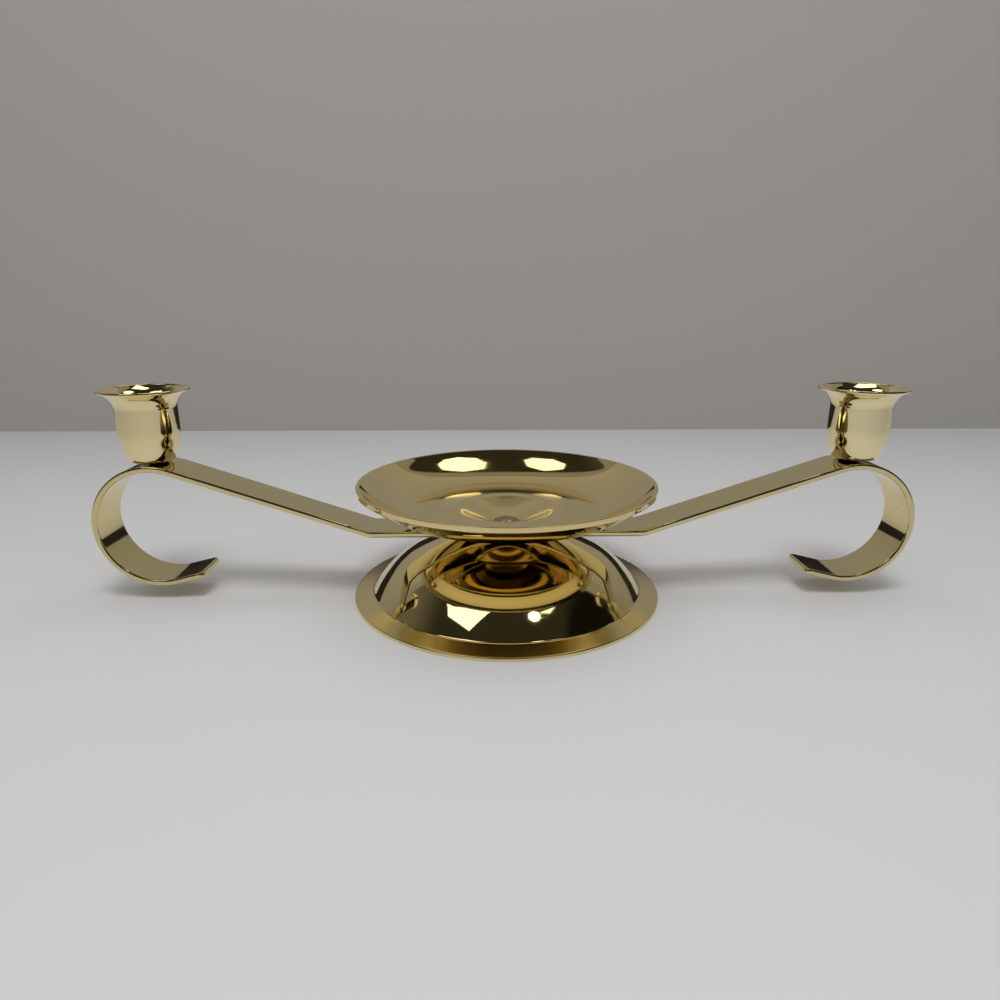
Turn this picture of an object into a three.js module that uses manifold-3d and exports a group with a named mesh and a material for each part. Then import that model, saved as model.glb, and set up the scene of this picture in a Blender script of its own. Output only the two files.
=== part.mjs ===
// A low candle holder in polished brass: a spun bell base, one flat strap bent into two arms, a shallow
// dish over its middle for a pillar candle, and a flared cup for a taper on the crest of each arm.
// One screw clamps dish, strap and base together, and each cup is riveted to its arm.
// Millimetres, +Z up. The origin is on the table, under the middle of the base.
import * as THREE from "three";
import { mergeVertices } from "three/addons/utils/BufferGeometryUtils.js";
import Module from "manifold-3d";

const wasm = await Module();
wasm.setup();

// Base shell: a sheet disc spun to a bell, with a sloping flange and a turned-down rim.
const BASE_RADIUS = 58.4;
const BASE_HEIGHT = 24.1;
const BASE_SHEET = 0.9;
const BASE_SEAT_RADIUS = 6;
const CREASE_RADIUS = 51.4;
const CREASE_HEIGHT = 2.7;
const RIM_HEIGHT = 1.3;
const RIM_LAND = 1.2;
const RIM_EDGE_RADIUS = 0.4;

// Slope of the crown below level: where it leaves its flat seat, at two radii further out, and at its foot.
const SEAT_SLOPE_DEG = 6.5;
const WAIST_RADIUS = 36;
const WAIST_SLOPE_DEG = 24.8;
const HIP_RADIUS = 44.5;
const HIP_SLOPE_DEG = 43;
const FOOT_SLOPE_DEG = 52.8;

// Arm strap: flat bar, bent up at both sides and rolled over into an open scroll at each end.
const STRAP_WIDTH = 17.8;
const STRAP_THICKNESS = 2.2;
const BEND_REACH = 51.4;
const BEND_RADIUS = 9;
const SCROLL_REACH = 129.8;
const SCROLL_RADIUS = 23.1;
const SCROLL_CLEARANCE = 5.4;
const TAIL_LENGTH = 10.5;
const TAIL_RISE_DEG = 14;
const TAIL_CORNER_RADIUS = 2;

// Dish: a plate with a sunken middle for the screw, a flat ring round it for the candle, and a curved
// wall that ends in a narrow, level lip.
const DISH_RADIUS = 56;
const DISH_DEPTH = 17.4;
const DISH_SHEET = 1.5;
const WELL_RADIUS = 19.5;
const WELL_DEPTH = 5.6;
const WELL_ROUND = 8;
const SEAT_RING_RADIUS = 36.2;
const WALL_START_DEG = 11;
const DISH_LIP_WIDTH = 1.4;
const DISH_EDGE_HEIGHT = 0.8;
const DISH_EDGE_BEVEL = 0.3;

// Candle cups: drawn sheet, straight above and drawn in below to a flat foot, with a flared, beaded lip.
const CUP_OFFSET = 1.2;
const CUP_HEIGHT = 26.8;
const CUP_SHEET = 0.8;
const CUP_BODY_RADIUS = 10.5;
const CUP_BODY_START = 12;
const CUP_BELLY_ROUND = 26;
const CUP_HEEL_ROUND = 3;
const CUP_FLARE_ROUND = 6;
const CUP_FLARE_END_DEG = 30;
const CUP_LIP_RADIUS = 15.4;
const CUP_BEAD_RADIUS = 0.6;

// Centre screw with its washers and nut, and the two cup rivets.
const SCREW_RADIUS = 2.4;
const SCREW_HEAD_RADIUS = 4.8;
const SCREW_HEAD_HEIGHT = 1.7;
const SCREW_END = 1.2;
const NUT_ACROSS_FLATS = 8;
const NUT_HEIGHT = 3.6;
const WASHER_RADIUS = 5;
const WASHER_THICKNESS = 0.9;
const LOCK_WASHER_RADIUS = 4.4;
const LOCK_WASHER_THICKNESS = 1.2;
const LOCK_WASHER_SPLIT = 0.9;
const RIVET_RADIUS = 1.6;
const RIVET_HEAD_RADIUS = 3.2;
const RIVET_HEAD_HEIGHT = 1.2;
const RIVET_TAIL_RADIUS = 2.5;
const RIVET_TAIL_HEIGHT = 1;

// Room left round shanks in their holes, under pieces that sit on a bent face, and round the heads on a floor.
const HOLE_CLEARANCE = 0.35;
const SEAT_GAP = 0.3;
const HEAD_MARGIN = 0.6;

// How finely round shapes are cut: turns of the large and small spun pieces, and steps along an arc.
const LARGE_TURN_STEPS = 64;
const CUP_TURN_STEPS = 36;
const SMALL_TURN_STEPS = 20;
const CROWN_STEPS = 5;
const WELL_STEPS = 4;
const WALL_STEPS = 9;
const BEAD_STEPS = 5;
const SCROLL_STEPS = 28;
const BEND_STEPS = 4;
const HEEL_STEPS = 3;
const BELLY_STEPS = 4;
const FLARE_STEPS = 4;

// Heights and holes that follow from the sizes above.
const STRAP_TOP = BASE_HEIGHT + STRAP_THICKNESS;
const DISH_FLOOR = STRAP_TOP + DISH_SHEET;
const SCROLL_CENTRE_HEIGHT = SCROLL_CLEARANCE + SCROLL_RADIUS;
const CREST_HEIGHT = SCROLL_CENTRE_HEIGHT + SCROLL_RADIUS;
const CUP_REACH = SCROLL_REACH + CUP_OFFSET;
const CUP_FOOT_HEIGHT = CREST_HEIGHT + SEAT_GAP;
const SCREW_HOLE_RADIUS = SCREW_RADIUS + HOLE_CLEARANCE;
const RIVET_HOLE_RADIUS = RIVET_RADIUS + HOLE_CLEARANCE;
const DISH_CLEAR_RADIUS = SCREW_HEAD_RADIUS + HEAD_MARGIN;
const CUP_CLEAR_RADIUS = RIVET_HEAD_RADIUS + HEAD_MARGIN;

const radians = THREE.MathUtils.degToRad;

function point(x, y) {
  return new THREE.Vector2(x, y);
}

// Points on an arc, both ends included.
function arc(centre, radius, startDeg, endDeg, steps) {
  const points = [];
  for (let i = 0; i <= steps; i++) {
    const angle = radians(startDeg + ((endDeg - startDeg) * i) / steps);
    points.push(point(centre.x + radius * Math.cos(angle), centre.y + radius * Math.sin(angle)));
  }
  return points;
}

// A polyline moved sideways, to its left when the distance is positive, with mitred corners.
function beside(line, distance) {
  return line.map((p, i) => {
    const before = line[Math.max(i - 1, 0)];
    const after = line[Math.min(i + 1, line.length - 1)];
    const into = i > 0 ? p.clone().sub(before).normalize() : after.clone().sub(p).normalize();
    const out = i < line.length - 1 ? after.clone().sub(p).normalize() : into;
    const across = point(-into.y - out.y, into.x + out.x).normalize();
    const mitre = distance / (across.x * -into.y + across.y * into.x);
    return p.clone().addScaledVector(across, mitre);
  });
}

// A closed outline of radius and height, turned about the Z axis.
function spun(outline, turnSteps) {
  const ccw = !THREE.ShapeUtils.isClockWise(outline);
  const ring = ccw ? outline.slice() : outline.slice().reverse();
  const onAxis = ring.some((p) => p.x === 0);
  if (onAxis) {
    while (ring[0].x !== 0 || ring[ring.length - 1].x !== 0) ring.push(ring.shift());
  } else {
    ring.push(ring[0].clone());
  }
  return new THREE.LatheGeometry(ring, turnSteps).rotateX(Math.PI / 2);
}

// A plan outline raised by a height.
function raised(shape, height, curveSteps = 8) {
  return new THREE.ExtrudeGeometry(shape, { depth: height, bevelEnabled: false, curveSegments: curveSteps });
}

function solid(geometry) {
  const bare = geometry.clone();
  bare.deleteAttribute("normal");
  bare.deleteAttribute("uv");
  const merged = mergeVertices(bare, 1e-4);
  return new wasm.Manifold(
    new wasm.Mesh({
      numProp: 3,
      vertProperties: merged.attributes.position.array,
      triVerts: new Uint32Array(merged.index.array),
    }),
  );
}

function geometryOf(manifold) {
  const mesh = manifold.getMesh();
  const geometry = new THREE.BufferGeometry();
  geometry.setAttribute("position", new THREE.BufferAttribute(mesh.vertProperties, 3));
  geometry.setIndex(new THREE.BufferAttribute(mesh.triVerts, 1));
  geometry.computeVertexNormals();
  return geometry;
}

// An upright cylinder, for cutting holes.
function drill(radius, low, high, x = 0) {
  const bit = new THREE.CylinderGeometry(radius, radius, high - low, SMALL_TURN_STEPS);
  bit.rotateX(Math.PI / 2);
  bit.translate(x, 0, (low + high) / 2);
  return solid(bit);
}

// The crown from its flat seat to its foot: three arcs that run on into each other, fitted to its height.
function crownLine() {
  const line = [point(BASE_SEAT_RADIUS, 0)];
  let slope = radians(SEAT_SLOPE_DEG);
  for (const [endRadius, endSlopeDeg] of [
    [WAIST_RADIUS, WAIST_SLOPE_DEG],
    [HIP_RADIUS, HIP_SLOPE_DEG],
    [CREASE_RADIUS, FOOT_SLOPE_DEG],
  ]) {
    const start = line[line.length - 1];
    const endSlope = radians(endSlopeDeg);
    const bendRadius = (endRadius - start.x) / (Math.sin(endSlope) - Math.sin(slope));
    for (let i = 1; i <= CROWN_STEPS; i++) {
      const turn = slope + ((endSlope - slope) * i) / CROWN_STEPS;
      const out = bendRadius * (Math.sin(turn) - Math.sin(slope));
      line.push(point(start.x + out, start.y - bendRadius * (Math.cos(slope) - Math.cos(turn))));
    }
    slope = endSlope;
  }
  const fit = (BASE_HEIGHT - CREASE_HEIGHT) / -line[line.length - 1].y;
  return line.map((p) => point(p.x, BASE_HEIGHT + p.y * fit));
}

function baseShell() {
  const top = [point(SCREW_HOLE_RADIUS, BASE_HEIGHT), ...crownLine()];
  const rimInside = BASE_RADIUS - RIM_LAND;
  const flangeEnd = point(BASE_RADIUS - RIM_EDGE_RADIUS, RIM_HEIGHT);
  top.push(flangeEnd);
  const under = beside(top, -BASE_SHEET);
  const lastUnder = under[under.length - 1];
  const underSlope = (lastUnder.y - under[under.length - 2].y) / (lastUnder.x - under[under.length - 2].x);
  const rimRoot = point(rimInside, lastUnder.y + underSlope * (rimInside - lastUnder.x));
  const rim = [
    point(BASE_RADIUS, RIM_HEIGHT - RIM_EDGE_RADIUS),
    point(BASE_RADIUS, 0),
    point(rimInside, 0),
    rimRoot,
  ];
  const inside = under.slice(1, -1).reverse();
  inside.push(point(SCREW_HOLE_RADIUS, BASE_HEIGHT - BASE_SHEET));
  return spun([...top, ...rim, ...inside], LARGE_TURN_STEPS);
}

// The middle line of the right half of the strap, from the centre to the end of its tail.
function strapLine() {
  const flatHeight = BASE_HEIGHT + STRAP_THICKNESS / 2;
  const scrollRadius = SCROLL_RADIUS - STRAP_THICKNESS / 2;
  const centre = point(SCROLL_REACH, SCROLL_CENTRE_HEIGHT);
  const toCentre = point(centre.x - BEND_REACH, centre.y - flatHeight);
  const slope = Math.atan2(toCentre.y, toCentre.x) + Math.asin(scrollRadius / toCentre.length());
  const slopeDeg = THREE.MathUtils.radToDeg(slope);
  const bendCentre = point(BEND_REACH - BEND_RADIUS * Math.tan(slope / 2), flatHeight + BEND_RADIUS);
  const bend = arc(bendCentre, BEND_RADIUS, -90, -90 + slopeDeg, BEND_STEPS);
  const scroll = arc(centre, scrollRadius, 90 + slopeDeg, -90 - TAIL_RISE_DEG, SCROLL_STEPS);
  const scrollEnd = scroll[scroll.length - 1];
  const tailRise = radians(TAIL_RISE_DEG);
  const tip = point(
    scrollEnd.x - TAIL_LENGTH * Math.cos(tailRise),
    scrollEnd.y + TAIL_LENGTH * Math.sin(tailRise),
  );
  return [...bend, ...scroll, tip];
}

// What is cut away to round one corner of a strap end: a square block, less a quarter round.
function cornerCutter(tipX, side, edge) {
  const radius = TAIL_CORNER_RADIUS;
  const centreX = tipX + side * radius;
  const centreY = edge * (STRAP_WIDTH / 2 - radius);
  const startAngle = edge > 0 ? Math.PI / 2 : -Math.PI / 2;
  const endAngle = side > 0 ? edge * Math.PI : 0;
  const outside = radius * 2;
  const shape = new THREE.Shape();
  shape.moveTo(centreX, centreY + edge * radius);
  shape.absarc(centreX, centreY, radius, startAngle, endAngle, (endAngle < startAngle));
  shape.lineTo(tipX - side * outside, centreY);
  shape.lineTo(tipX - side * outside, centreY + edge * outside);
  shape.lineTo(centreX, centreY + edge * outside);
  shape.closePath();
  return solid(raised(shape, SCROLL_CENTRE_HEIGHT, 6));
}

function armStrap() {
  const right = strapLine();
  const left = right.map((p) => point(-p.x, p.y)).reverse();
  const line = [...left, ...right];
  const outline = [...beside(line, STRAP_THICKNESS / 2), ...beside(line, -STRAP_THICKNESS / 2).reverse()];
  const bar = raised(new THREE.Shape(outline), STRAP_WIDTH);
  bar.rotateX(Math.PI / 2);
  bar.translate(0, STRAP_WIDTH / 2, 0);
  let strap = solid(bar);
  strap = strap.subtract(drill(SCREW_HOLE_RADIUS, 0, STRAP_TOP + 1));
  for (const side of [-1, 1]) {
    const rivetHole = drill(RIVET_HOLE_RADIUS, SCROLL_CENTRE_HEIGHT, CREST_HEIGHT + 1, side * CUP_REACH);
    strap = strap.subtract(rivetHole);
    const tip = right[right.length - 1];
    const tipReach = tip.x - (STRAP_THICKNESS / 2) * Math.sin(radians(TAIL_RISE_DEG));
    for (const edge of [-1, 1]) strap = strap.subtract(cornerCutter(side * tipReach, side, edge));
  }
  return geometryOf(strap);
}

function dish() {
  const seat = DISH_FLOOR + WELL_DEPTH;
  const rimTop = STRAP_TOP + DISH_DEPTH;
  const shoulder = point(WELL_RADIUS, seat - WELL_ROUND);
  const toShoulder = point(shoulder.x - DISH_CLEAR_RADIUS, shoulder.y - DISH_FLOOR);
  const wellSlope = Math.atan2(toShoulder.y, toShoulder.x) + Math.asin(WELL_ROUND / toShoulder.length());
  const wellSlopeDeg = THREE.MathUtils.radToDeg(wellSlope);
  const run = DISH_RADIUS - DISH_LIP_WIDTH - SEAT_RING_RADIUS;
  const chord = Math.atan2(rimTop - seat, run);
  const wallStart = radians(WALL_START_DEG);
  const wallRadius = Math.hypot(run, rimTop - seat) / (2 * Math.sin(chord - wallStart));
  const wallCentre = point(
    SEAT_RING_RADIUS - wallRadius * Math.sin(wallStart),
    seat + wallRadius * Math.cos(wallStart),
  );
  const wallEndDeg = THREE.MathUtils.radToDeg(2 * chord - wallStart);
  const top = [
    point(SCREW_HOLE_RADIUS, DISH_FLOOR),
    point(DISH_CLEAR_RADIUS, DISH_FLOOR),
    ...arc(shoulder, WELL_ROUND, 90 + wellSlopeDeg, 90, WELL_STEPS),
    ...arc(wallCentre, wallRadius, WALL_START_DEG - 90, wallEndDeg - 90, WALL_STEPS),
  ];
  const edge = [
    point(DISH_RADIUS - DISH_EDGE_BEVEL, rimTop),
    point(DISH_RADIUS, rimTop - DISH_EDGE_BEVEL),
    point(DISH_RADIUS, rimTop - DISH_EDGE_BEVEL - DISH_EDGE_HEIGHT),
  ];
  const under = beside(top, -DISH_SHEET).slice(0, -1).reverse();
  return spun([...top, ...edge, ...under], LARGE_TURN_STEPS);
}

function candleCup() {
  const bellyCentre = point(CUP_BODY_RADIUS - CUP_BELLY_ROUND, CUP_BODY_START);
  const heelReach = CUP_BELLY_ROUND - CUP_HEEL_ROUND;
  const heelTurn = Math.asin((CUP_BODY_START - CUP_HEEL_ROUND) / heelReach);
  const heelTurnDeg = THREE.MathUtils.radToDeg(heelTurn);
  const heelCentre = point(bellyCentre.x + heelReach * Math.cos(heelTurn), CUP_HEEL_ROUND);
  const lipSlope = radians(CUP_FLARE_END_DEG);
  const bead = point(CUP_LIP_RADIUS - CUP_BEAD_RADIUS, CUP_HEIGHT - CUP_BEAD_RADIUS);
  const beadMeetDeg = THREE.MathUtils.radToDeg(Math.asin(CUP_SHEET / 2 / CUP_BEAD_RADIUS));
  const beadHalfDeg = 180 - beadMeetDeg;
  const beadStartDeg = CUP_FLARE_END_DEG - beadHalfDeg;
  const beadEdge = arc(bead, CUP_BEAD_RADIUS, beadStartDeg, CUP_FLARE_END_DEG + beadHalfDeg, BEAD_STEPS);
  const lipUnder = beadEdge[0];
  const flareRun = CUP_FLARE_ROUND * (1 - Math.sin(lipSlope));
  const lipRise = (lipUnder.x - CUP_BODY_RADIUS - flareRun) * Math.tan(lipSlope);
  const flareCentre = point(
    CUP_BODY_RADIUS + CUP_FLARE_ROUND,
    lipUnder.y - lipRise - CUP_FLARE_ROUND * Math.cos(lipSlope),
  );
  const outside = [
    point(RIVET_HOLE_RADIUS, 0),
    point(CUP_CLEAR_RADIUS, 0),
    ...arc(heelCentre, CUP_HEEL_ROUND, -90, -heelTurnDeg, HEEL_STEPS),
    ...arc(bellyCentre, CUP_BELLY_ROUND, -heelTurnDeg, 0, BELLY_STEPS).slice(1),
    ...arc(flareCentre, CUP_FLARE_ROUND, 180, 90 + CUP_FLARE_END_DEG, FLARE_STEPS),
    lipUnder,
  ];
  const inside = beside(outside, CUP_SHEET).reverse();
  return spun([...outside, ...beadEdge.slice(1, -1), ...inside], CUP_TURN_STEPS);
}

// A low round head with its flat underside at the given height.
function headArc(radius, height, seat, steps = 5) {
  const sphereRadius = (radius * radius + height * height) / (2 * height);
  const points = [];
  for (let i = 0; i <= steps; i++) {
    const across = radius * (1 - i / steps);
    const up = Math.sqrt(sphereRadius * sphereRadius - across * across) - (sphereRadius - height);
    points.push(point(across, i === 0 ? seat : seat + up));
  }
  return points;
}

const WASHER_TOP = BASE_HEIGHT - BASE_SHEET;
const LOCK_WASHER_TOP = WASHER_TOP - WASHER_THICKNESS;
const NUT_TOP = LOCK_WASHER_TOP - LOCK_WASHER_THICKNESS;
const NUT_BOTTOM = NUT_TOP - NUT_HEIGHT;

function centreScrew() {
  const end = NUT_BOTTOM - SCREW_END;
  const bevel = SCREW_RADIUS / 5;
  const outline = [
    point(0, end),
    point(SCREW_RADIUS - bevel, end),
    point(SCREW_RADIUS, end + bevel),
    point(SCREW_RADIUS, DISH_FLOOR),
    ...headArc(SCREW_HEAD_RADIUS, SCREW_HEAD_HEIGHT, DISH_FLOOR),
  ];
  return spun(outline, SMALL_TURN_STEPS);
}

function flatWasher() {
  const low = WASHER_TOP - WASHER_THICKNESS;
  const outline = [
    point(SCREW_HOLE_RADIUS, low),
    point(WASHER_RADIUS, low),
    point(WASHER_RADIUS, WASHER_TOP),
    point(SCREW_HOLE_RADIUS, WASHER_TOP),
  ];
  return spun(outline, SMALL_TURN_STEPS);
}

// A split ring, cut through on one side.
function lockWasher() {
  const half = LOCK_WASHER_SPLIT / 2;
  const outerTurn = Math.asin(half / LOCK_WASHER_RADIUS);
  const innerTurn = Math.asin(half / SCREW_HOLE_RADIUS);
  const shape = new THREE.Shape();
  shape.absarc(0, 0, LOCK_WASHER_RADIUS, outerTurn, 2 * Math.PI - outerTurn, false);
  shape.absarc(0, 0, SCREW_HOLE_RADIUS, 2 * Math.PI - innerTurn, innerTurn, true);
  shape.closePath();
  const ring = raised(shape, LOCK_WASHER_THICKNESS, SMALL_TURN_STEPS / 2);
  return ring.translate(0, 0, NUT_TOP);
}

function hexNut() {
  const cornerRadius = NUT_ACROSS_FLATS / 2 / Math.cos(Math.PI / 6);
  const corners = [];
  for (let i = 0; i < 6; i++) {
    const angle = (Math.PI / 3) * i;
    corners.push(point(cornerRadius * Math.cos(angle), cornerRadius * Math.sin(angle)));
  }
  const shape = new THREE.Shape(corners);
  shape.holes.push(new THREE.Path().absarc(0, 0, SCREW_HOLE_RADIUS, 0, 2 * Math.PI, true));
  return raised(shape, NUT_HEIGHT, SMALL_TURN_STEPS / 2).translate(0, 0, NUT_BOTTOM);
}

function cupRivet() {
  const seat = CUP_FOOT_HEIGHT + CUP_SHEET;
  const crestUnder = CREST_HEIGHT - STRAP_THICKNESS;
  const innerRadius = SCROLL_RADIUS - STRAP_THICKNESS;
  const sag = innerRadius - Math.sqrt(innerRadius ** 2 - RIVET_TAIL_RADIUS ** 2);
  const tailTop = crestUnder - sag - SEAT_GAP;
  const tailBevel = RIVET_TAIL_HEIGHT / 3;
  const outline = [
    point(0, tailTop - RIVET_TAIL_HEIGHT),
    point(RIVET_TAIL_RADIUS - tailBevel, tailTop - RIVET_TAIL_HEIGHT),
    point(RIVET_TAIL_RADIUS, tailTop - RIVET_TAIL_HEIGHT + tailBevel),
    point(RIVET_TAIL_RADIUS, tailTop),
    point(RIVET_RADIUS, tailTop),
    point(RIVET_RADIUS, seat),
    ...headArc(RIVET_HEAD_RADIUS, RIVET_HEAD_HEIGHT, seat, 4),
  ];
  return spun(outline, SMALL_TURN_STEPS);
}

function brass(colour, roughness) {
  return new THREE.MeshStandardMaterial({ color: colour, roughness, metalness: 1 });
}

function steel(roughness) {
  return new THREE.MeshStandardMaterial({ color: 0xb4b6b8, roughness, metalness: 1 });
}

const candelabra = new THREE.Group();

function add(name, geometry, material, parent = candelabra) {
  const mesh = new THREE.Mesh(geometry, material);
  mesh.name = name;
  parent.add(mesh);
  return mesh;
}

add("base_shell", baseShell(), brass(0xe6c878, 0.08));
add("arm_strap", armStrap(), brass(0xdfc27a, 0.12));
add("dish", dish(), brass(0xe6c878, 0.08));
add("centre_screw", centreScrew(), brass(0xcdb06a, 0.2));
add("flat_washer", flatWasher(), steel(0.35));
add("lock_washer", lockWasher(), steel(0.4));
add("hex_nut", hexNut(), steel(0.35));
for (const [side, x] of [
  ["left", -CUP_REACH],
  ["right", CUP_REACH],
]) {
  const armEnd = new THREE.Group();
  armEnd.position.x = x;
  candelabra.add(armEnd);
  add(`cup_${side}`, candleCup(), brass(0xe8cc80, 0.08), armEnd).position.z = CUP_FOOT_HEIGHT;
  add(`cup_rivet_${side}`, cupRivet(), brass(0xcdb06a, 0.25), armEnd);
}

export default candelabra;
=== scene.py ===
# A low candle holder in polished, lacquered brass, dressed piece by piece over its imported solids.
# Metres, +Z up. The pieces' sizes are in millimetres, turned into metres in use. The studio's are in metres.
import math

import bpy
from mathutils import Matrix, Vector


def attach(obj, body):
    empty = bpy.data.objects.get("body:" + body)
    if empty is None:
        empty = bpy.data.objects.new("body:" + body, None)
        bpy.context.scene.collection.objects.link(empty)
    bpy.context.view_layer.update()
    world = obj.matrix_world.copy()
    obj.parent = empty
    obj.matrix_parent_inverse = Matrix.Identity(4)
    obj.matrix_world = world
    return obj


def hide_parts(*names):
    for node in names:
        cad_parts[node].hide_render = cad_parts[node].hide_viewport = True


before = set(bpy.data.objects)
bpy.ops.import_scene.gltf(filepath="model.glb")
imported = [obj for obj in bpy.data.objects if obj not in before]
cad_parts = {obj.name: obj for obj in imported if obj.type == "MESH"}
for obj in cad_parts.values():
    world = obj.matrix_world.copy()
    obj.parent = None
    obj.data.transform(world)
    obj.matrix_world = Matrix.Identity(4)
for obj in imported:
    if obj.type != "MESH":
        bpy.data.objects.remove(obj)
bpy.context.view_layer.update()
MM = 0.001

# The camera stands close in front and a little above, with the wide lens of a hand-held snapshot.
# Its place comes from the round rims of base, dish and cups.
LOOK_DOWN = 16.3
LOOK_ASIDE = 1
camera_data = bpy.data.cameras.new("snapshot_camera")
camera_data.lens = 25
camera_data.sensor_width = 36
camera_data.clip_start = 10 * MM
camera = bpy.data.objects.new("snapshot_camera", camera_data)
camera.location = (-6.91 * MM, -253.5 * MM, 110.2 * MM)
camera.rotation_euler = (math.radians(90 - LOOK_DOWN), 0, math.radians(-LOOK_ASIDE))
bpy.context.scene.collection.objects.link(camera)
bpy.context.scene.camera = camera
bpy.context.scene.view_settings.view_transform = "Standard"


# The studio: a white satin table top and a plain beige-grey board standing behind it.
# The soft daylight comes from all round.
def stage_finish(name, colour, roughness):
    finish = bpy.data.materials.new(name)
    finish.use_nodes = True
    shader = finish.node_tree.nodes["Principled BSDF"]
    shader.inputs["Base Color"].default_value = (*colour, 1)
    shader.inputs["Roughness"].default_value = roughness
    return finish


def stage_board(name, size, location, rotation, finish):
    bpy.ops.object.select_all(action="DESELECT")
    bpy.ops.mesh.primitive_plane_add(size=1, location=location, rotation=rotation)
    board = bpy.context.object
    board.name = name
    board.scale = (*size, 1)
    board.data.materials.append(finish)
    return board


TABLE_SPAN = 6
BOARD_SPAN = 4
BOARD_HEIGHT = 0.45
BOARD_DISTANCE = 0.338
LYING = (0, 0, 0)
STANDING = (math.radians(90), 0, 0)
DAYLIGHT = (0.42, 0.42, 0.425, 1)
white_table = stage_finish("white_table", (0.76, 0.76, 0.77), 0.42)
stage_board("table_top", (TABLE_SPAN, TABLE_SPAN), (0, 0, 0), LYING, white_table)
beige_board = stage_finish("beige_board", (0.44, 0.425, 0.39), 0.9)
board_place = (0, BOARD_DISTANCE, BOARD_HEIGHT / 2)
stage_board("back_board", (BOARD_SPAN, BOARD_HEIGHT), board_place, STANDING, beige_board)

world = bpy.data.worlds.new("soft_daylight")
world.use_nodes = True
world.node_tree.nodes["Background"].inputs["Color"].default_value = DAYLIGHT
bpy.context.scene.world = world


# Polished brass shows what stands round it, so a tent closes off the studio, and only reflections see it.
# It is dark in front and overhead, and the colour of the board behind an edge that bows across the top.
def reflections_only(thing):
    thing.visible_camera = False
    thing.visible_diffuse = False
    thing.visible_shadow = False
    thing.visible_transmission = False
    thing.visible_volume_scatter = False


TENT_RADIUS = 1.3
bpy.ops.object.select_all(action="DESELECT")
bpy.ops.mesh.primitive_uv_sphere_add(segments=48, ring_count=32, radius=TENT_RADIUS)
tent = bpy.context.object
tent.name = "dark_tent"
bpy.ops.object.mode_set(mode="EDIT")
bpy.ops.mesh.select_all(action="SELECT")
bpy.ops.mesh.bisect(plane_co=(0, 0, MM), plane_no=(0, 0, 1), clear_inner=True)
bpy.ops.object.mode_set(mode="OBJECT")
bpy.ops.object.shade_smooth()
tent_finish = bpy.data.materials.new("tent_cloth")
tent_finish.use_nodes = True
tent_nodes = tent_finish.node_tree.nodes
tent_links = tent_finish.node_tree.links
tent_nodes.clear()
tent_place = tent_nodes.new("ShaderNodeTexCoord")
tent_way = tent_nodes.new("ShaderNodeVectorMath")
tent_way.operation = "NORMALIZE"
tent_links.new(tent_place.outputs["Object"], tent_way.inputs[0])
tent_axes = tent_nodes.new("ShaderNodeSeparateXYZ")
tent_links.new(tent_way.outputs[0], tent_axes.inputs[0])


def tent_math(operation, first, second):
    """One step of arithmetic between sockets or plain numbers."""
    step = tent_nodes.new("ShaderNodeMath")
    step.operation = operation
    for socket, value in zip(step.inputs, (first, second)):
        if isinstance(value, (int, float)):
            socket.default_value = value
        else:
            tent_links.new(value, socket)
    return step.outputs[0]


def tent_blend(source, low, high, first, second):
    """A soft change from one colour to another as a value rises. A colour is a socket, or three shares."""
    share = tent_nodes.new("ShaderNodeMapRange")
    share.interpolation_type = "SMOOTHSTEP"
    share.inputs["From Min"].default_value = low
    share.inputs["From Max"].default_value = high
    tent_links.new(source, share.inputs["Value"])
    mix = tent_nodes.new("ShaderNodeMix")
    mix.data_type = "RGBA"
    tent_links.new(share.outputs["Result"], mix.inputs["Factor"])
    for side, colour in (("A", first), ("B", second)):
        if isinstance(colour, tuple):
            mix.inputs[side].default_value = (*colour, 1)
        else:
            tent_links.new(colour, mix.inputs[side])
    return mix.outputs["Result"]


# How far behind the top the dark reaches, for each unit of height, and how that changes to the sides.
DARK_REACH = 0.5
REACH_BOW = 0.9
SHOULDER = 0.42
SHOULDER_FALL = 20
LEAST_REACH = 0.38
LEFT_SIDE = -0.6
LEFT_REACH_GAIN = 0.24
EDGE_SOFTNESS = 0.02
DARK_CLOTH = (0.026, 0.024, 0.017)
PALE_CLOTH = (0.12, 0.112, 0.09)
BLACK_CLOTH = (0.006, 0.005, 0.004)
BOARD_CLOTH = (0.235, 0.222, 0.198)
tent_x, tent_y, tent_z = (tent_axes.outputs[axis] for axis in "XYZ")
past_shoulder = tent_math("MAXIMUM", tent_math("SUBTRACT", tent_math("ABSOLUTE", tent_x, 0), SHOULDER), 0)
shoulder_fall = tent_math("MULTIPLY", tent_math("MULTIPLY", past_shoulder, past_shoulder), SHOULDER_FALL)
reach_bow = tent_math("MULTIPLY", tent_math("MULTIPLY", tent_x, tent_x), REACH_BOW)
left_gain = tent_math("MULTIPLY", tent_math("LESS_THAN", tent_x, LEFT_SIDE), LEFT_REACH_GAIN)
least_reach = tent_math("ADD", left_gain, LEAST_REACH)
dark_reach = tent_math("SUBTRACT", tent_math("ADD", reach_bow, DARK_REACH), shoulder_fall)
dark_reach = tent_math("MAXIMUM", dark_reach, least_reach)
behind_edge = tent_math("SUBTRACT", tent_y, tent_math("MULTIPLY", dark_reach, tent_z))
towards_left = tent_math("SUBTRACT", tent_math("MULTIPLY", tent_y, 0.5), tent_x)
dark_side = tent_blend(towards_left, 0.55, 0.95, DARK_CLOTH, PALE_CLOTH)
dark_side = tent_blend(tent_x, 0.56, 0.68, dark_side, BLACK_CLOTH)
tent_colour = tent_blend(behind_edge, -EDGE_SOFTNESS, EDGE_SOFTNESS, dark_side, BOARD_CLOTH)
tent_glow = tent_nodes.new("ShaderNodeEmission")
tent_links.new(tent_colour, tent_glow.inputs["Color"])
tent_end = tent_nodes.new("ShaderNodeOutputMaterial")
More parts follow.
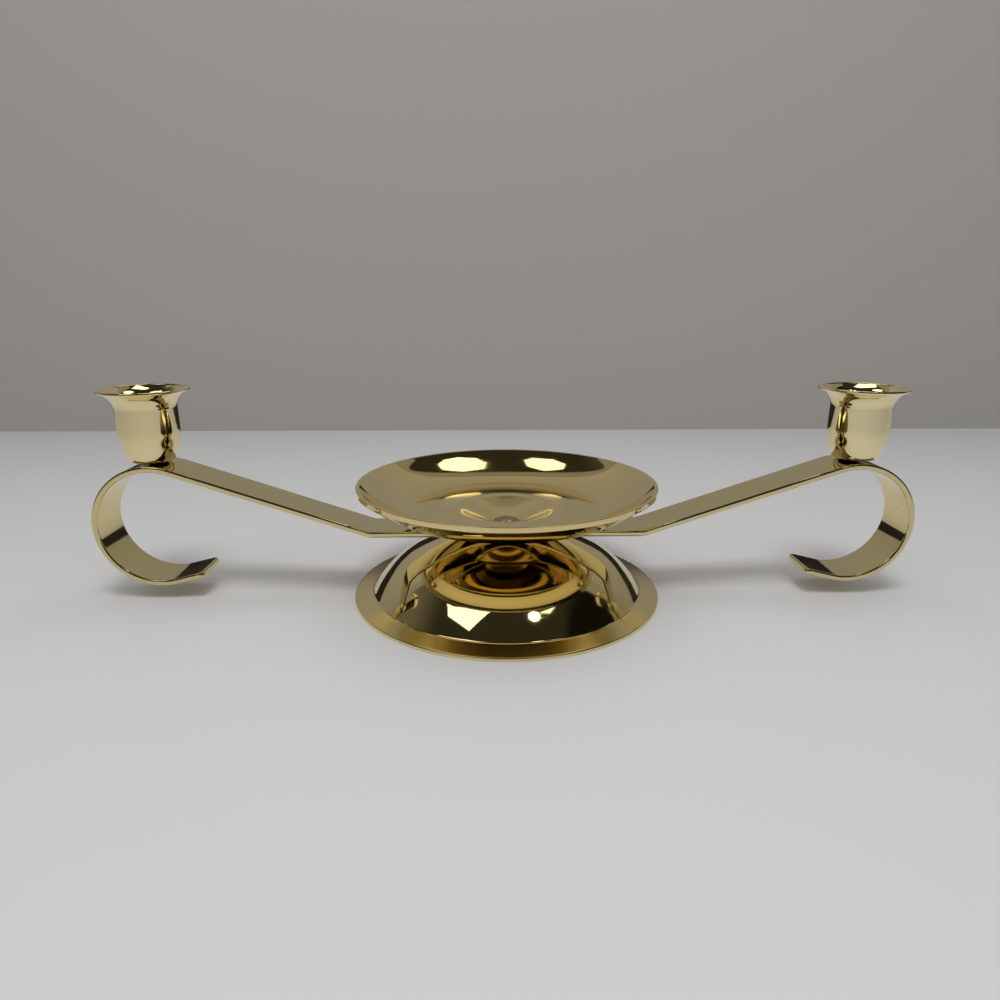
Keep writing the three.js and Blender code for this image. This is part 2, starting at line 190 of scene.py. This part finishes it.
tent_links.new(tent_glow.outputs["Emission"], tent_end.inputs["Surface"])
tent.data.materials.append(tent_finish)
reflections_only(tent)

# A dark strip lies along the foot of the back board, and shows only as the dark lines in the metal's edges.
STRIP_HEIGHT = 0.072
STRIP_DISTANCE = BOARD_DISTANCE - 2 * MM
dark_strip = stage_finish("dark_strip", (0.02, 0.014, 0.015), 0.5)
strip_place = (0, STRIP_DISTANCE, STRIP_HEIGHT / 2)
reflections_only(stage_board("foot_strip", (BOARD_SPAN, STRIP_HEIGHT), strip_place, STANDING, dark_strip))

# The windows are glowing panels in the tent, about a metre from the holder. The metal mirrors them as bright
# patches. Each is an outline of corners in millimetres.
PANEL_COLOUR = (1, 0.99, 0.95, 1)
PANEL_GLOW = 1.8


def glowing_panel(name, corners):
    mesh = bpy.data.meshes.new(name)
    mesh.from_pydata([Vector(corner) * MM for corner in corners], [], [range(len(corners))])
    panel = bpy.data.objects.new(name, mesh)
    bpy.context.scene.collection.objects.link(panel)
    glow = bpy.data.materials.new(name)
    glow.use_nodes = True
    shader = glow.node_tree.nodes["Principled BSDF"]
    shader.inputs["Base Color"].default_value = (0, 0, 0, 1)
    shader.inputs["Emission Color"].default_value = PANEL_COLOUR
    shader.inputs["Emission Strength"].default_value = PANEL_GLOW
    mesh.materials.append(glow)
    panel.visible_camera = False


glowing_panel(
    "tall_window",
    [(-591, -59, 833), (-541, -149, 856), (-181, -358, 944), (-429, -521, 782), (-619, -245, 783)],
)
glowing_panel("small_window", [(350, -351, 899), (502, -187, 872), (460, -312, 863)])
glowing_panel(
    "left_skylight",
    [(405, 290, 924), (422, 155, 946), (353, 36, 984), (214, 23, 1023),
     (129, 153, 1030), (111, 361, 983), (183, 454, 934), (311, 420, 913)],
)
glowing_panel(
    "right_skylight",
    [(-115, 73, 1033), (-193, 19, 1020), (-311, 103, 983), (-336, 261, 946),
     (-254, 397, 930), (-142, 428, 946), (-99, 276, 1006)],
)


# Two lamps are aimed at the holder. A small round one shows as the bright dot on the base.
# A broad one above the front casts the soft shadow, and the metal doesn't mirror it.
def aimed_lamp(name, size, energy, location):
    lamp_data = bpy.data.lights.new(name, "AREA")
    lamp_data.size = size
    lamp_data.energy = energy
    lamp = bpy.data.objects.new(name, lamp_data)
    lamp.location = location
    lamp.rotation_euler = lamp.location.to_track_quat("Z", "Y").to_euler()
    bpy.context.scene.collection.objects.link(lamp)
    return lamp


round_lamp = aimed_lamp("round_lamp", 0.136, 0.14, (0.298, -0.402, 0.897))
round_lamp.data.shape = "DISK"
overhead_lamp = aimed_lamp("overhead_lamp", 0.3, 3.1, (0, -0.34, 0.96))
overhead_lamp.visible_glossy = False


# Base: a disc of sheet brass spun over a former to a bell, with a sloping flange and a turned-down rim.
# It stands on that rim, and the centre screw goes through its top. Polished and lacquered.
def arc(centre_radius, centre_height, bend_radius, start, end, steps):
    """Points of radius and height on an arc, its two ends included. Angles in degrees."""
    points = []
    for step in range(steps + 1):
        angle = math.radians(start + (end - start) * step / steps)
        out, up = bend_radius * math.cos(angle), bend_radius * math.sin(angle)
        points.append((centre_radius + out, centre_height + up))
    return points


def drawn_line(name, line, side=0):
    """A line drawn point by point in an upright plane, that far to one side. It is left in edit mode."""
    start_reach, start_height = line[0]
    bpy.ops.object.select_all(action="DESELECT")
    bpy.ops.mesh.primitive_plane_add(size=MM, location=(start_reach * MM, side * MM, start_height * MM))
    piece = bpy.context.object
    piece.name = name
    bpy.ops.object.transform_apply(location=True, rotation=False, scale=False)
    bpy.ops.object.mode_set(mode="EDIT")
    bpy.ops.mesh.select_all(action="SELECT")
    bpy.ops.mesh.merge(type="CENTER")
    for here, there in zip(line, line[1:]):
        step = ((there[0] - here[0]) * MM, 0, (there[1] - here[1]) * MM)
        bpy.ops.mesh.extrude_region_move(TRANSFORM_OT_translate={"value": step})
    bpy.ops.mesh.select_all(action="SELECT")
    return piece


def turned(name, outline, turn_steps):
    """An outline of radius and height, spun round the upright axis."""
    piece = drawn_line(name, outline)
    bpy.ops.mesh.spin(steps=turn_steps, angle=math.tau, center=(0, 0, 0), axis=(0, 0, 1))
    bpy.ops.mesh.select_all(action="SELECT")
    bpy.ops.mesh.remove_doubles(threshold=0.004 * MM)
    bpy.ops.mesh.normals_make_consistent(inside=False)
    bpy.ops.object.mode_set(mode="OBJECT")
    bpy.ops.object.shade_smooth_by_angle(angle=math.radians(35))
    return piece


def bent(start, slope, bends):
    """A surface that falls away from its start, in arcs that run on into each other.

    Each bend is the radius and the slope at its end. Slopes are in degrees below level."""
    points = [start]
    for reach, end_slope in bends:
        first_radius, first_height = points[-1]
        turn_first, turn_last = math.radians(slope), math.radians(end_slope)
        bend = (reach - first_radius) / (math.sin(turn_last) - math.sin(turn_first))
        for step in range(1, BEND_STEPS + 1):
            turn = turn_first + (turn_last - turn_first) * step / BEND_STEPS
            out = bend * (math.sin(turn) - math.sin(turn_first))
            fall = bend * (math.cos(turn_first) - math.cos(turn))
            points.append((first_radius + out, first_height - fall))
        slope = end_slope
    return points


def below(line, distance):
    """A line of points moved down from its own slope by a distance, its corners kept sharp."""
    moved = []
    for index, here in enumerate(line):
        before = Vector(line[max(index - 1, 0)])
        after = Vector(line[min(index + 1, len(line) - 1)])
        into = (Vector(here) - before).normalized() if index > 0 else (after - Vector(here)).normalized()
        out = (after - Vector(here)).normalized() if index < len(line) - 1 else into
        across = Vector((into.y + out.y, -into.x - out.x)).normalized()
        reach = distance / across.dot(Vector((into.y, -into.x)))
        moved.append((here[0] + across.x * reach, here[1] + across.y * reach))
    return moved


def brass(name, tone, wipe_scale, dullness, dull_part=None):
    """Polished brass under clear lacquer.

    A dull part is the radius where the polish begins to fade, the one where it is gone, and the roughness
    that is added there."""
    finish = bpy.data.materials.new(name)
    finish.use_nodes = True
    nodes = finish.node_tree.nodes
    links = finish.node_tree.links
    shader = nodes["Principled BSDF"]
    shader.inputs["Metallic"].default_value = 1
    shader.inputs["Coat Weight"].default_value = 0.12
    shader.inputs["Coat Roughness"].default_value = 0.03
    place = nodes.new("ShaderNodeTexCoord").outputs["Object"]

    def noise(scale, detail, source=place):
        cloud = nodes.new("ShaderNodeTexNoise")
        cloud.inputs["Scale"].default_value = scale
        cloud.inputs["Detail"].default_value = detail
        links.new(source, cloud.inputs["Vector"])
        return cloud.outputs["Fac"]

    def ranged(source, low, high, to_low, to_high):
        spread = nodes.new("ShaderNodeMapRange")
        spread.inputs["From Min"].default_value = low
        spread.inputs["From Max"].default_value = high
        spread.inputs["To Min"].default_value = to_low
        spread.inputs["To Max"].default_value = to_high
        links.new(source, spread.inputs["Value"])
        return spread.outputs["Result"]

    def together(operation, first, second):
        step = nodes.new("ShaderNodeMath")
        step.operation = operation
        links.new(first, step.inputs[0])
        links.new(second, step.inputs[1])
        return step.outputs[0]

    # Clouds of wipe marks, and hairlines drawn out along one slanting direction.
    wipes = ranged(noise(wipe_scale, 3), 0.4, 0.7, dullness, dullness + 0.05)
    brushed = nodes.new("ShaderNodeMapping")
    brushed.inputs["Scale"].default_value = (60, 60, 900)
    brushed.inputs["Rotation"].default_value = (0.3, 0.9, 0.4)
    links.new(place, brushed.inputs["Vector"])
    hairlines = ranged(noise(1.2, 2, brushed.outputs["Vector"]), 0.66, 0.8, 0, 0.08)
    roughness = together("ADD", wipes, hairlines)
    if dull_part:
        polish_end, dull_start, dull_roughness = dull_part
        flat_place = nodes.new("ShaderNodeVectorMath")
        flat_place.operation = "MULTIPLY"
        flat_place.inputs[1].default_value = (1, 1, 0)
        links.new(place, flat_place.inputs[0])
        reach = nodes.new("ShaderNodeVectorMath")
        reach.operation = "LENGTH"
        links.new(flat_place.outputs["Vector"], reach.inputs[0])
        faded = ranged(reach.outputs["Value"], polish_end * MM, dull_start * MM, 0, dull_roughness)
        roughness = together("ADD", roughness, faded)
    links.new(roughness, shader.inputs["Roughness"])

    # Two close tones of brass, and rare dark pits where the lacquer has gone.
    tones = nodes.new("ShaderNodeMix")
    tones.data_type = "RGBA"
    tones.inputs["A"].default_value = (*tone, 1)
    tones.inputs["B"].default_value = (tone[0] * 0.97, tone[1] * 0.95, tone[2] * 0.88, 1)
    links.new(ranged(noise(19, 2), 0.35, 0.65, 0, 1), tones.inputs["Factor"])
    pits = nodes.new("ShaderNodeTexVoronoi")
    pits.inputs["Scale"].default_value = 140
    links.new(place, pits.inputs["Vector"])
    pit_spots = ranged(pits.outputs["Distance"], 0.03, 0.055, 1, 0)
    rare = ranged(noise(23, 0), 0.6, 0.62, 0, 1)
    pitted = nodes.new("ShaderNodeMix")
    pitted.data_type = "RGBA"
    pitted.inputs["B"].default_value = (0.16, 0.1, 0.04, 1)
    links.new(together("MULTIPLY", pit_spots, rare), pitted.inputs["Factor"])
    links.new(tones.outputs["Result"], pitted.inputs["A"])
    links.new(pitted.outputs["Result"], shader.inputs["Base Color"])

    # A slow ripple of the sheet under the fine peel of the lacquer.
    ripple = nodes.new("ShaderNodeBump")
    ripple.inputs["Strength"].default_value = 1
    ripple.inputs["Distance"].default_value = 0.04 * MM
    links.new(noise(55, 1), ripple.inputs["Height"])
    peel = nodes.new("ShaderNodeBump")
    peel.inputs["Strength"].default_value = 1
    peel.inputs["Distance"].default_value = 0.0015 * MM
    links.new(noise(700, 2), peel.inputs["Height"])
    links.new(ripple.outputs["Normal"], peel.inputs["Normal"])
    links.new(peel.outputs["Normal"], shader.inputs["Normal"])
    return finish


def finish_piece(piece, finish, node):
    """Gives a piece its material and slot, hides the CAD node that it stands for and lets it ride."""
    piece.data.materials.append(finish)
    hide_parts(node)
    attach(piece, "root")


SCREW_HOLE = 2.75
SEAT = (6, 24.1)
SEAT_SLOPE = 6.5
WAIST = (36, 24.8)
HIP = (44.5, 43)
CREASE = (51.4, 2.7)
FOOT_SLOPE = 52.8
CREASE_ROUND = 1.5
FLANGE_SLOPE = 12
FLANGE_EDGE = (58.0, 1.3)
RIM_RADIUS = 58.4
RIM_WIDTH = 1.2
RIM_ROUND = 0.4
RIM_INNER_HEIGHT = 0.55
FOOT_ROUND = 0.15
BELL_SHEET = 0.9
BELL_TONE = (0.9, 0.755, 0.41)
DULL_FLANGE = (51.5, 52.5, 0.16)
BEND_STEPS = 24
TURN_STEPS = 256
crown = bent(SEAT, SEAT_SLOPE, [WAIST, HIP, (CREASE[0], FOOT_SLOPE)])
crown_fit = (SEAT[1] - CREASE[1]) / (SEAT[1] - crown[-1][1])
crown = [(radius, SEAT[1] - (SEAT[1] - height) * crown_fit) for radius, height in crown]
foot_turn = math.radians(FOOT_SLOPE)
foot_back = CREASE_ROUND * math.tan(math.radians((FOOT_SLOPE - FLANGE_SLOPE) / 2))
foot_start = Vector(CREASE) - foot_back * Vector((math.cos(foot_turn), -math.sin(foot_turn)))
foot_middle = foot_start + CREASE_ROUND * Vector((math.sin(foot_turn), math.cos(foot_turn)))
crown = [place for place in crown if place[0] < foot_start.x]
crown += arc(*foot_middle, CREASE_ROUND, -90 - FOOT_SLOPE, -90 - FLANGE_SLOPE, 8)
flange_fall = math.tan(math.radians(FLANGE_SLOPE))
flange = [
    (radius, FLANGE_EDGE[1] + (FLANGE_EDGE[0] - radius) * flange_fall)
    for radius in (54.5, 57.5, FLANGE_EDGE[0])
]
bell_top = [(SCREW_HOLE, SEAT[1])] + crown + flange
base_outline = bell_top[:-1]
base_outline += arc(RIM_RADIUS - RIM_ROUND, FLANGE_EDGE[1] - RIM_ROUND, RIM_ROUND, 90 - FLANGE_SLOPE, 0, 4)
base_outline += arc(RIM_RADIUS - FOOT_ROUND, FOOT_ROUND, FOOT_ROUND, 0, -90, 3)
base_outline += arc(RIM_RADIUS - RIM_WIDTH + FOOT_ROUND, FOOT_ROUND, FOOT_ROUND, -90, -180, 3)
base_outline += [(RIM_RADIUS - RIM_WIDTH, RIM_INNER_HEIGHT)]
base_outline += below(bell_top, BELL_SHEET)[1:-1][::-1]
base_outline += [(SCREW_HOLE, SEAT[1] - BELL_SHEET), (SCREW_HOLE, SEAT[1])]
base = turned("base_bell", base_outline, TURN_STEPS)
finish_piece(base, brass("bell_brass", BELL_TONE, 32, 0.035, DULL_FLANGE), "base_shell")

# Strap: one flat bar for both arms, clamped between base and dish, bent up at each side and rolled over
# a crest into an open scroll with a short, straight tail. Its edges are broken and its tail corners rounded.
STRAP_WIDTH = 17.8
STRAP_THICKNESS = 2.2
EDGE_BREAK = 0.7
BEND_REACH = 51.4
BEND_RADIUS = 9
SCROLL_REACH = 129.8
SCROLL_HEIGHT = 28.5
SCROLL_RADIUS = 21.97
TAIL_LENGTH = 10.5
TAIL_RISE = 14
TAIL_CORNER = 2.4
STRAP_TONE = (0.79, 0.68, 0.38)
TOUCHING = 0.01 * MM
strap_middle = SEAT[1] + STRAP_THICKNESS / 2
to_scroll = Vector((SCROLL_REACH - BEND_REACH, SCROLL_HEIGHT - strap_middle))
arm_slope = math.degrees(math.atan2(to_scroll.y, to_scroll.x) + math.asin(SCROLL_RADIUS / to_scroll.length))
bend_start = BEND_REACH - BEND_RADIUS * math.tan(math.radians(arm_slope / 2))
strap_line = [(0, strap_middle)]
strap_line += arc(bend_start, strap_middle + BEND_RADIUS, BEND_RADIUS, -90, -90 + arm_slope, 12)
strap_line += arc(SCROLL_REACH, SCROLL_HEIGHT, SCROLL_RADIUS, 90 + arm_slope, -90 - TAIL_RISE, 96)
tail_way = math.radians(180 - TAIL_RISE)
tail_start_reach, tail_start_height = strap_line[-1]
tail_end_reach = tail_start_reach + TAIL_LENGTH * math.cos(tail_way)
tail_end_height = tail_start_height + TAIL_LENGTH * math.sin(tail_way)
strap_line.append((tail_end_reach, tail_end_height))
strap = drawn_line("arm_bar", strap_line, -STRAP_WIDTH / 2)
bpy.ops.mesh.extrude_edges_move(TRANSFORM_OT_translate={"value": (0, STRAP_WIDTH * MM, 0)})
bpy.ops.mesh.select_all(action="DESELECT")
bpy.ops.object.mode_set(mode="OBJECT")
tail_end = Vector((tail_end_reach, 0, tail_end_height)) * MM
for corner in strap.data.vertices:
    corner.select = (Vector((corner.co.x, 0, corner.co.z)) - tail_end).length < TOUCHING
bpy.ops.object.mode_set(mode="EDIT")
bpy.ops.mesh.bevel(offset=TAIL_CORNER * MM, segments=8, affect="VERTICES")
bpy.ops.object.mode_set(mode="OBJECT")


def apply_modifier(piece, kind, **settings):
    """Adds a modifier with these settings and applies it at once."""
    bpy.context.view_layer.objects.active = piece
    modifier = piece.modifiers.new(kind.lower(), kind)
    for setting, value in settings.items():
        setattr(modifier, setting, value)
    bpy.ops.object.modifier_apply(modifier=modifier.name)


apply_modifier(strap, "MIRROR", use_axis=(True, False, False), merge_threshold=TOUCHING)
bpy.ops.object.mode_set(mode="EDIT")
bpy.ops.mesh.select_all(action="SELECT")
bpy.ops.mesh.normals_make_consistent(inside=False)
bpy.ops.object.mode_set(mode="OBJECT")
apply_modifier(strap, "SOLIDIFY", thickness=STRAP_THICKNESS * MM, offset=0, use_even_offset=True)
apply_modifier(
    strap, "BEVEL", width=EDGE_BREAK * MM, segments=4, limit_method="ANGLE", angle_limit=math.radians(50)
)
bpy.ops.object.shade_smooth_by_angle(angle=math.radians(40))
apply_modifier(strap, "WEIGHTED_NORMAL", weight=80, keep_sharp=True)
finish_piece(strap, brass("bar_brass", STRAP_TONE, 26, 0.06), "arm_strap")

# Dish: a plate of spun brass, clamped by the centre screw in its sunken middle. A level ring round that
# carries the pillar candle, and the wall curves up to a plain lip. Its polish is softer where candles stand.
DISH_SHEET = 1.5
FLOOR_RADIUS = 5.4
WELL_RADIUS = 19.5
WELL_ROUND = 8
CANDLE_SEAT = 33.4
SEAT_RING_RADIUS = 36.2
WALL_START = 11
LIP_RADIUS = 56
LIP_TOP = 43.7
LIP_WIDTH = 1.4
LIP_ROUND = 0.12
LIP_FOOT = 42.1
LIP_FOOT_ROUND = 0.2
DISH_TONE = (0.88, 0.72, 0.37)
DULL_MIDDLE = (28, 15, 0.11)
dish_bottom = strap_middle + STRAP_THICKNESS / 2
dish_floor = dish_bottom + DISH_SHEET
well_gap = Vector((WELL_RADIUS - FLOOR_RADIUS, CANDLE_SEAT - WELL_ROUND - dish_floor))
well_slope = math.degrees(math.atan2(well_gap.y, well_gap.x) + math.asin(WELL_ROUND / well_gap.length))
wall_run = Vector((LIP_RADIUS - LIP_WIDTH - SEAT_RING_RADIUS, LIP_TOP - CANDLE_SEAT))
wall_chord = math.degrees(math.atan2(wall_run.y, wall_run.x))
wall_bend = wall_run.length / (2 * math.sin(math.radians(wall_chord - WALL_START)))
wall_middle = (
    SEAT_RING_RADIUS - wall_bend * math.sin(math.radians(WALL_START)),
    CANDLE_SEAT + wall_bend * math.cos(math.radians(WALL_START)),
)
dish_line = [(SCREW_HOLE, dish_floor), (FLOOR_RADIUS, dish_floor)]
dish_line += arc(WELL_RADIUS, CANDLE_SEAT - WELL_ROUND, WELL_ROUND, 90 + well_slope, 90, 16)
# Points next to the ring's two edges keep its smooth shading level.
dish_line += [(radius, CANDLE_SEAT) for radius in (WELL_RADIUS + 0.3, 24, 28, 32, SEAT_RING_RADIUS - 0.3)]
dish_line += arc(*wall_middle, wall_bend, WALL_START - 90, 2 * wall_chord - WALL_START - 90, 40)
dish_outline = dish_line + [(LIP_RADIUS - 0.9, LIP_TOP)]
dish_outline += arc(LIP_RADIUS - LIP_ROUND, LIP_TOP - LIP_ROUND, LIP_ROUND, 90, 0, 5)
dish_outline += arc(LIP_RADIUS - LIP_FOOT_ROUND, LIP_FOOT, LIP_FOOT_ROUND, 0, -45, 3)
dish_outline += below(dish_line, DISH_SHEET)[1:-3][::-1]
dish_outline += [(SCREW_HOLE, dish_bottom), (SCREW_HOLE, dish_floor)]
dish = turned("dish_bowl", dish_outline, TURN_STEPS)
finish_piece(dish, brass("dish_brass", DISH_TONE, 38, 0.04, DULL_MIDDLE), "dish")

# Candle cups: drawn from sheet, straight above and drawn in below to a flat foot. The flared lip ends in a
# small bead. One stands on the crest of each arm, riveted through its floor.
CUP_REACH = 131
CUP_FOOT = 51.9
CUP_SHEET = 0.8
RIVET_HOLE = 1.95
HEEL_CENTRE = (5.667, 3)
HEEL_BEND = 3
HEEL_TURN = 23.03
BELLY_CENTRE = (-15.5, 12)
BELLY_BEND = 26
FLARE_CENTRE = (16.5, 19.73)
FLARE_BEND = 6
FLARE_END = 120
LIP_CENTRE = (14.8, 26.14)
LIP_BEAD = 0.6
BEAD_START = -108.19
BEAD_END = 168.19
CUP_TONE = (0.9, 0.78, 0.46)
cup_outline = [(RIVET_HOLE, 0)]
cup_outline += arc(*HEEL_CENTRE, HEEL_BEND, -90, -HEEL_TURN, 12)
cup_outline += arc(*BELLY_CENTRE, BELLY_BEND, -HEEL_TURN, 0, 20)[1:]
cup_outline += arc(*FLARE_CENTRE, FLARE_BEND, 180, FLARE_END, 16)
cup_outline += arc(*LIP_CENTRE, LIP_BEAD, BEAD_START, BEAD_END, 14)
cup_outline += arc(*FLARE_CENTRE, FLARE_BEND + CUP_SHEET, FLARE_END, 180, 16)
cup_outline += arc(*BELLY_CENTRE, BELLY_BEND - CUP_SHEET, 0, -HEEL_TURN, 20)
cup_outline += arc(*HEEL_CENTRE, HEEL_BEND - CUP_SHEET, -HEEL_TURN, -90, 12)[1:]
cup_outline += [(RIVET_HOLE, CUP_SHEET), (RIVET_HOLE, 0)]
cup = turned("cup_on_left_arm", cup_outline, 160)


def placed(piece, reach, height):
    """Moves a piece to its place in its mesh, and leaves its object at the origin."""
    bpy.ops.object.select_all(action="DESELECT")
    piece.select_set(True)
    bpy.context.view_layer.objects.active = piece
    piece.location = (reach * MM, 0, height * MM)
    bpy.ops.object.transform_apply(location=True, rotation=False, scale=False)


def copied(piece, name):
    """A second piece with a mesh of its own."""
    twin = piece.copy()
    twin.data = piece.data.copy()
    twin.name = name
    bpy.context.scene.collection.objects.link(twin)
    return twin


other_cup = copied(cup, "cup_on_right_arm")
placed(cup, -CUP_REACH, CUP_FOOT)
placed(other_cup, CUP_REACH, CUP_FOOT)
cup_brass = brass("cup_brass", CUP_TONE, 60, 0.04)
finish_piece(cup, cup_brass, "cup_left")
finish_piece(other_cup, cup_brass, "cup_right")

# Centre screw: a low pan-head machine screw, brass plated and dull. Its head sits on the dish's floor, and
# the nut on its shank clamps dish, strap and base together.
SCREW_END = 16.3
SCREW_SHANK = 2.4
SCREW_POINT = 0.4
HEAD_EDGE = 4.6
HEAD_EDGE_ROUND = 0.2
HEAD_HEIGHT = 1.7
DOME_BEND = 7.4
DOME_START = 50
SCREW_TONE = (0.46, 0.36, 0.22)
screw_outline = [(0, SCREW_END), (SCREW_SHANK - SCREW_POINT, SCREW_END)]
screw_outline += [(SCREW_SHANK, SCREW_END + SCREW_POINT), (SCREW_SHANK, dish_floor)]
screw_outline += arc(HEAD_EDGE, dish_floor + HEAD_EDGE_ROUND, HEAD_EDGE_ROUND, -90, 0, 3)
screw_outline += arc(0, dish_floor + HEAD_HEIGHT - DOME_BEND, DOME_BEND, DOME_START, 90, 14)
screw = turned("centre_screw_head", screw_outline, 96)
finish_piece(screw, brass("screw_brass", SCREW_TONE, 90, 0.3), "centre_screw")

# Cup rivets: brass, each with a low round head on the floor of its cup. The shank goes through the crest of
# the arm, and its end is set into a second, flat head under it.
SET_FOOT = 47.8
SET_HEIGHT = 1.0
SET_RADIUS = 2.5
SET_BREAK = 0.3
RIVET_SHANK = 1.6
RIVET_HEAD = 3.2
RIVET_HEAD_BREAK = 0.1
RIVET_HEAD_HEIGHT = 1.2
RIVET_HEAD_BEND = 4.87
RIVET_HEAD_START = 49
RIVET_TONE = (0.8, 0.67, 0.4)
cup_floor = CUP_FOOT + CUP_SHEET
rivet_outline = [(0, SET_FOOT), (SET_RADIUS - SET_BREAK, SET_FOOT), (SET_RADIUS, SET_FOOT + SET_BREAK)]
rivet_outline += [(SET_RADIUS, SET_FOOT + SET_HEIGHT), (RIVET_SHANK, SET_FOOT + SET_HEIGHT)]
rivet_outline += [(RIVET_SHANK, cup_floor), (RIVET_HEAD - RIVET_HEAD_BREAK, cup_floor)]
rivet_outline += [(RIVET_HEAD, cup_floor + RIVET_HEAD_BREAK)]
rivet_dome_middle = cup_floor + RIVET_HEAD_HEIGHT - RIVET_HEAD_BEND
rivet_outline += arc(0, rivet_dome_middle, RIVET_HEAD_BEND, RIVET_HEAD_START, 90, 12)
rivet = turned("rivet_in_left_cup", rivet_outline, 64)
other_rivet = copied(rivet, "rivet_in_right_cup")
placed(rivet, -CUP_REACH, 0)
placed(other_rivet, CUP_REACH, 0)
rivet_brass = brass("rivet_brass", RIVET_TONE, 120, 0.18)
finish_piece(rivet, rivet_brass, "cup_rivet_left")
finish_piece(other_rivet, rivet_brass, "cup_rivet_right")

# Flat washer, lock washer and hex nut: zinc-plated steel, on the screw's shank inside the hollow of the base.
# They are hidden from above, so the CAD solids stay and only get their plating.
DARK_ZINC = (0.45, 0.46, 0.47, 1)
PALE_ZINC = (0.68, 0.69, 0.7, 1)
zinc = bpy.data.materials.new("plated_zinc")
zinc.use_nodes = True
zinc_nodes = zinc.node_tree.nodes
zinc_links = zinc.node_tree.links
zinc_shader = zinc_nodes["Principled BSDF"]
zinc_shader.inputs["Metallic"].default_value = 1
zinc_place = zinc_nodes.new("ShaderNodeTexCoord")
zinc_grain = zinc_nodes.new("ShaderNodeTexNoise")
zinc_grain.inputs["Scale"].default_value = 900
zinc_links.new(zinc_place.outputs["Object"], zinc_grain.inputs["Vector"])
zinc_tones = zinc_nodes.new("ShaderNodeValToRGB")
zinc_tones.color_ramp.elements[0].color = DARK_ZINC
zinc_tones.color_ramp.elements[1].color = PALE_ZINC
zinc_links.new(zinc_grain.outputs["Fac"], zinc_tones.inputs["Fac"])
zinc_links.new(zinc_tones.outputs["Color"], zinc_shader.inputs["Base Color"])
zinc_wear = zinc_nodes.new("ShaderNodeMapRange")
zinc_wear.inputs["To Min"].default_value = 0.28
zinc_wear.inputs["To Max"].default_value = 0.5
zinc_links.new(zinc_grain.outputs["Fac"], zinc_wear.inputs["Value"])
zinc_links.new(zinc_wear.outputs["Result"], zinc_shader.inputs["Roughness"])
for name in ("flat_washer", "lock_washer", "hex_nut"):
    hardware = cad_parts[name]
    hardware.data.materials.clear()
    hardware.data.materials.append(zinc)
